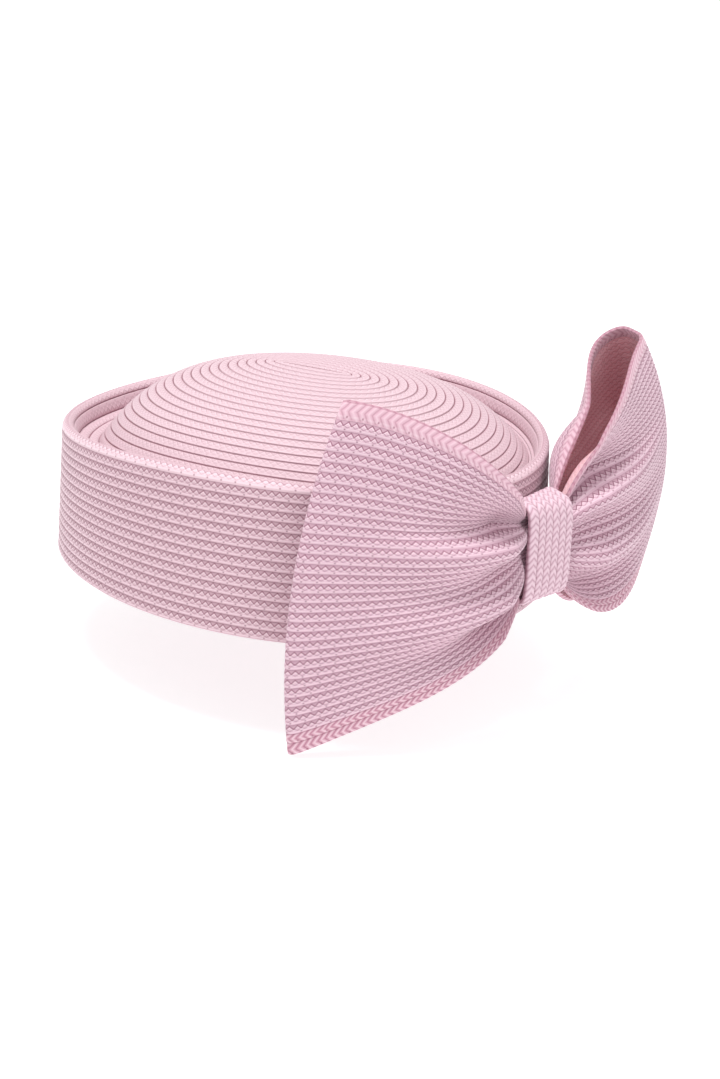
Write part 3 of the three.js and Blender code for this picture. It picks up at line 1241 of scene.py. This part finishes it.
    def back_layer(self, loop: Loop, free: np.ndarray, row: np.ndarray) -> np.ndarray:
        """How far forward a loop's own curves carry its back layer.

        Args:
            loop: The loop.
            free: 0 at the knot and 1 at the bend.
            row: 1 at the top edge and -1 at the foot.
        Returns:
            The distance, to be scaled by how far behind a point is.
        """
        upper = np.maximum(0, row)
        arch = np.sin(math.pi * free)
        curl = loop.curl * arch + loop.sway * np.sin(TAU * free)
        belly = loop.back_belly * arch * (1 - row**self.back_belly_power)
        heel_row = upper * (1 - self.heel_hem_share * upper**self.heel_hem_power)
        heel = loop.heel * np.sin(math.pi * np.minimum(1, free / self.heel_span)) * heel_row
        return curl * upper**self.curl_power - belly - heel

    def loop_points(self, loop: Loop, step: np.ndarray, row: np.ndarray) -> np.ndarray:
        """Middle surface of one loop.

        Args:
            loop: The loop.
            step: Steps round it.
            row: 1 at the top edge and -1 at the foot, against the steps.
        Returns:
            The points.
        """
        edge_reach = (loop.top_reach + loop.foot_reach) / 2
        slant = (loop.top_reach - loop.foot_reach) / 2
        reach = mix(loop.reach, edge_reach, row * row) + slant * row
        theta = self.loop_angle(step, reach)
        along = reach * (1 - np.cos(theta)) / 2
        free = np.clip((along - self.mouth) / (reach - self.mouth), 0, 1)
        behind = (1 - np.cos(theta / 2)) / 2

        spread = 1 - (1 - free) ** mix(loop.foot_flare, loop.top_flare, (1 + row) / 2)
        height = mix(self.gathered_height, loop.bend_height, spread) / 2
        gathered = self.pleat(row, PleatMeasure.GATHERED)
        share = mix(row, gathered, (1 - free) ** self.gather_power)

        opening = mix(loop.opening, loop.edge_opening, row * row)
        apart = 2 * free * (1 - free) ** loop.bend_round * np.sign(math.pi - theta)
        layer = (self.layer_gap + self.wall) / 2 * np.cos(theta / 2) + opening * apart
        grown = np.minimum(1, free * self.fold_growth)
        depth = mix(self.pleat_depth, self.fold_depth, grown) * (1 - free) ** self.fold_ease
        fold_share = mix(self.back_fold_share, 1, (1 + np.cos(theta / 2)) / 2)
        out = mix(self.pleat(row, PleatMeasure.OUT), self.pleat(row, PleatMeasure.FREE), grown)
        folded = layer + depth * fold_share * out + behind * self.back_layer(loop, free, row)

        room = mix(self.knot_share(loop.side * along), 1, grown)
        tipped = loop.lean * spread * (row + 1) / 2
        carried = loop.belly * np.sin(math.pi * free**self.belly_place)
        forward = self.band_front - room * (self.band_front - folded) + carried - tipped
        heading = math.radians(loop.sweep) * smooth(free)
        return self.place(
            loop.side * (along * np.cos(heading) - forward * np.sin(heading)),
            forward * np.cos(heading) - along * np.sin(heading),
            loop.lift * free + height * share,
        )

    def band_middle(self, places: np.ndarray) -> np.ndarray:
        """Rings of the band's middle surface.

        Args:
            places: Their places counted in rows from the top edge.
        Returns:
            The rings, each round the left loop and then the right one.
        """
        widths = np.ones(self.rows)
        widths[0] = self.hem_rows
        widths[-1] = self.foot_hem_rows
        ends = np.concatenate([[0], np.cumsum(widths)]) / widths.sum()
        row = 1 - 2 * np.interp(places, np.arange(self.rows + 1), ends)[:, None]
        steps = np.arange(2 * self.steps_per_layer)[None, :]
        left = self.loop_points(LEFT, steps, row)
        right = self.loop_points(RIGHT, 2 * self.steps_per_layer - steps, row)
        return np.concatenate([left, right], axis=1)

    def build_band(self) -> bpy.types.Object:
        """Makes the band with its rows on both faces.

        Returns:
            The piece.
        """
        places, proud = BAND_ROW.stations(self.rows)
        middle = self.band_middle(places)
        foot = self.band_middle(np.array([float(self.rows)]))
        top = middle[:1] + np.array([0, 0, self.top_edge_rise])
        in_foot = places >= self.rows - self.foot_finish_rows
        edged = np.where(in_foot, BandFace.FOOT, BandFace.FRONT)
        slots = np.where(places < 1, BandFace.HEM, edged)
        inside_slots = np.where(slots == BandFace.FRONT, BandFace.INSIDE, slots)
        mesh = RingMesh()
        mesh.add(raised(middle, self.wall / 2 + proud, 1.0), places, slots)
        mesh.add(foot, self.rows - 1 + ROW_END, BandFace.FOOT)
        inside = raised(middle, self.wall / 2 + proud, -1.0)
        mesh.add(inside[::-1], places[::-1], inside_slots[::-1])
        mesh.add(top, 0.0, BandFace.HEM)
        piece = mesh.build("bow_band_braid", closed=True, pole=False)
        finishes = (BOW_STRAW, HEM_STRAW, FOOT_STRAW, BOW_INSIDE_LIT_STRAW)
        finish_piece(piece, "bow_band", finishes)
        return piece

    def strip_ring(self, aside: float, wall_offset: float) -> np.ndarray:
        """A ring of the strip.

        Args:
            aside: Place aside of the knot's middle.
            wall_offset: How far outside the strip's middle surface.
        Returns:
            The ring.
        """
        angle = np.arange(self.strip_steps) / self.strip_steps * TAU
        depth = self.knot_depth - self.strip_wall / 2
        height = (self.gathered_height + self.wall + self.strip_wall) / 2 + self.clearance
        power = 2 / self.strip_squareness
        forward = np.sign(np.cos(angle)) * np.abs(np.cos(angle)) ** power
        upward = np.sign(np.sin(angle)) * np.abs(np.sin(angle)) ** power
        tall = height + self.strip_back_rise * (1 - forward) / 2
        share = self.knot_share(aside)
        out = depth - share * (depth - depth * forward)
        flat = np.stack([out, tall * upward], axis=-1)
        ahead = np.roll(flat, -1, axis=0) - np.roll(flat, 1, axis=0)
        normal = unit(np.stack([ahead[:, 1], -ahead[:, 0]], axis=-1))
        flat = flat + normal * wall_offset
        return self.place(aside, flat[:, 0], flat[:, 1])

    def build_knot(self) -> bpy.types.Object:
        """Makes the strip with its upright rows.

        Returns:
            The piece.
        """
        rows = len(self.strip_row_ends) - 1
        half_wall = self.strip_wall / 2
        half_width = self.strip_width / 2
        places, proud = KNOT_ROW.stations(rows)
        asides = np.interp(places, np.arange(rows + 1), self.strip_row_ends) - 0.5
        mesh = RingMesh()
        stations = zip(asides * self.strip_width, proud)
        outside = [self.strip_ring(aside, half_wall + stand) for aside, stand in stations]
        mesh.add(np.array(outside), places, 0)
        edge = self.strip_ring(half_width, half_wall * self.strip_edge_layer)
        inner_side = half_width * self.strip_inside_share
        mesh.add(
            np.array([edge, self.strip_ring(inner_side, -half_wall)]), rows - 1 + ROW_END, 0
        )
        mesh.add(self.strip_ring(-inner_side, -half_wall)[None], 0.0, 0)
        piece = mesh.build("bow_knot_braid", closed=True, pole=False)
        finish_piece(piece, "bow_knot", (KNOT_STRAW,))
        return piece


# Camera, floor and light


@dataclass(frozen=True)
class Lamp:
    """A soft square light that faces the hat. Its place and side are in metres."""

    name: str
    place: tuple[float, float, float]
    size: float
    watts: float

    def add(self) -> bpy.types.Object:
        """Adds the light.

        Returns:
            The light.
        """
        data = bpy.data.lights.new(self.name, "AREA")
        data.shape = "SQUARE"
        data.size = self.size
        data.energy = self.watts
        light = bpy.data.objects.new(self.name, data)
        bpy.context.scene.collection.objects.link(light)
        light.location = self.place
        light.rotation_euler = (-Vector(self.place)).to_track_quat("-Z", "Y").to_euler()
        return light


@dataclass
class Studio:
    """Camera at the photograph's angle, a pale floor and soft light."""

    azimuth: float = -63.55
    elevation: float = 20.49
    roll: float = 2.38
    distance: float = 900.0
    right_shift: float = 23.91
    up_shift: float = 7.14
    lens: float = 77.73
    far_clip: float = 50.0
    floor_height: float = -39.5
    floor_size: float = 14.0
    floor_colour: Colour = (0.5, 0.5, 0.5, 1.0)
    floor_glow_colour: Colour = (1.0, 1.0, 1.0, 1.0)
    floor_glow: float = 0.72
    floor_roughness: float = 0.9
    floor_specular: float = 0.1
    sky_colour: Colour = (1.0, 0.99, 0.995, 1.0)
    sky_strength: float = 0.68
    lamps: tuple[Lamp, ...] = (
        Lamp("key_light", (-0.3, 0.1, 1.5), 0.5, 19.0),
        Lamp("side_light", (-0.5, -1.6, 0.7), 0.7, 4.0),
    )

    def camera(self) -> bpy.types.Object:
        """Adds the camera and makes it the scene's.

        Returns:
            The camera.
        """
        a, e, r = (math.radians(x) for x in (self.azimuth, self.elevation, self.roll))
        right = Vector((math.cos(a), math.sin(a), 0))
        back = Vector((math.sin(a) * math.cos(e), -math.cos(a) * math.cos(e), math.sin(e)))
        up = back.cross(right)
        middle = right * self.right_shift + up * self.up_shift + back * self.distance
        rolled_right = right * math.cos(r) + up * math.sin(r)
        rolled_up = up * math.cos(r) - right * math.sin(r)
        data = bpy.data.cameras.new("camera")
        data.lens = self.lens
        data.clip_end = self.far_clip
        camera = bpy.data.objects.new("camera", data)
        bpy.context.scene.collection.objects.link(camera)
        axes = Matrix((rolled_right, rolled_up, back)).transposed()
        camera.matrix_world = Matrix.Translation(middle * MM) @ axes.to_4x4()
        bpy.context.scene.camera = camera
        return camera

    def floor(self) -> bpy.types.Object:
        """Adds the plain pale floor, under the lowest point of the bow.

        Returns:
            The floor.
        """
        place = (0, 0, self.floor_height * MM)
        bpy.ops.mesh.primitive_plane_add(size=self.floor_size, location=place)
        floor = bpy.context.active_object
        floor.name = "floor"
        material = Shader("floor_white").finish(
            Base_Color=self.floor_colour,
            Roughness=self.floor_roughness,
            Emission_Color=self.floor_glow_colour,
            Emission_Strength=self.floor_glow,
            Specular_IOR_Level=self.floor_specular,
        )
        floor.data.materials.append(material)
        floor.select_set(False)
        return floor

    def build(self) -> None:
        """Adds the camera, the floor, the lights and the white surroundings."""
        self.camera()
        self.floor()
        for lamp in self.lamps:
            lamp.add()
        world = bpy.data.worlds.new("white_studio")
        bpy.context.scene.world = world
        world.use_nodes = True
        background = world.node_tree.nodes["Background"]
        background.inputs["Color"].default_value = self.sky_colour
        background.inputs["Strength"].default_value = self.sky_strength
        bpy.context.scene.view_settings.view_transform = "Standard"


def main() -> None:
    """Builds the hat and its studio in order."""
    logging.basicConfig(level=logging.INFO, format="%(message)s")
    bpy.ops.object.select_all(action="DESELECT")
    Studio().build()
    crown = Crown()
    crown.build()
    bow = Bow(crown)
    bow.build_band()
    bow.build_knot()


if __name__ == "__main__":
    main()
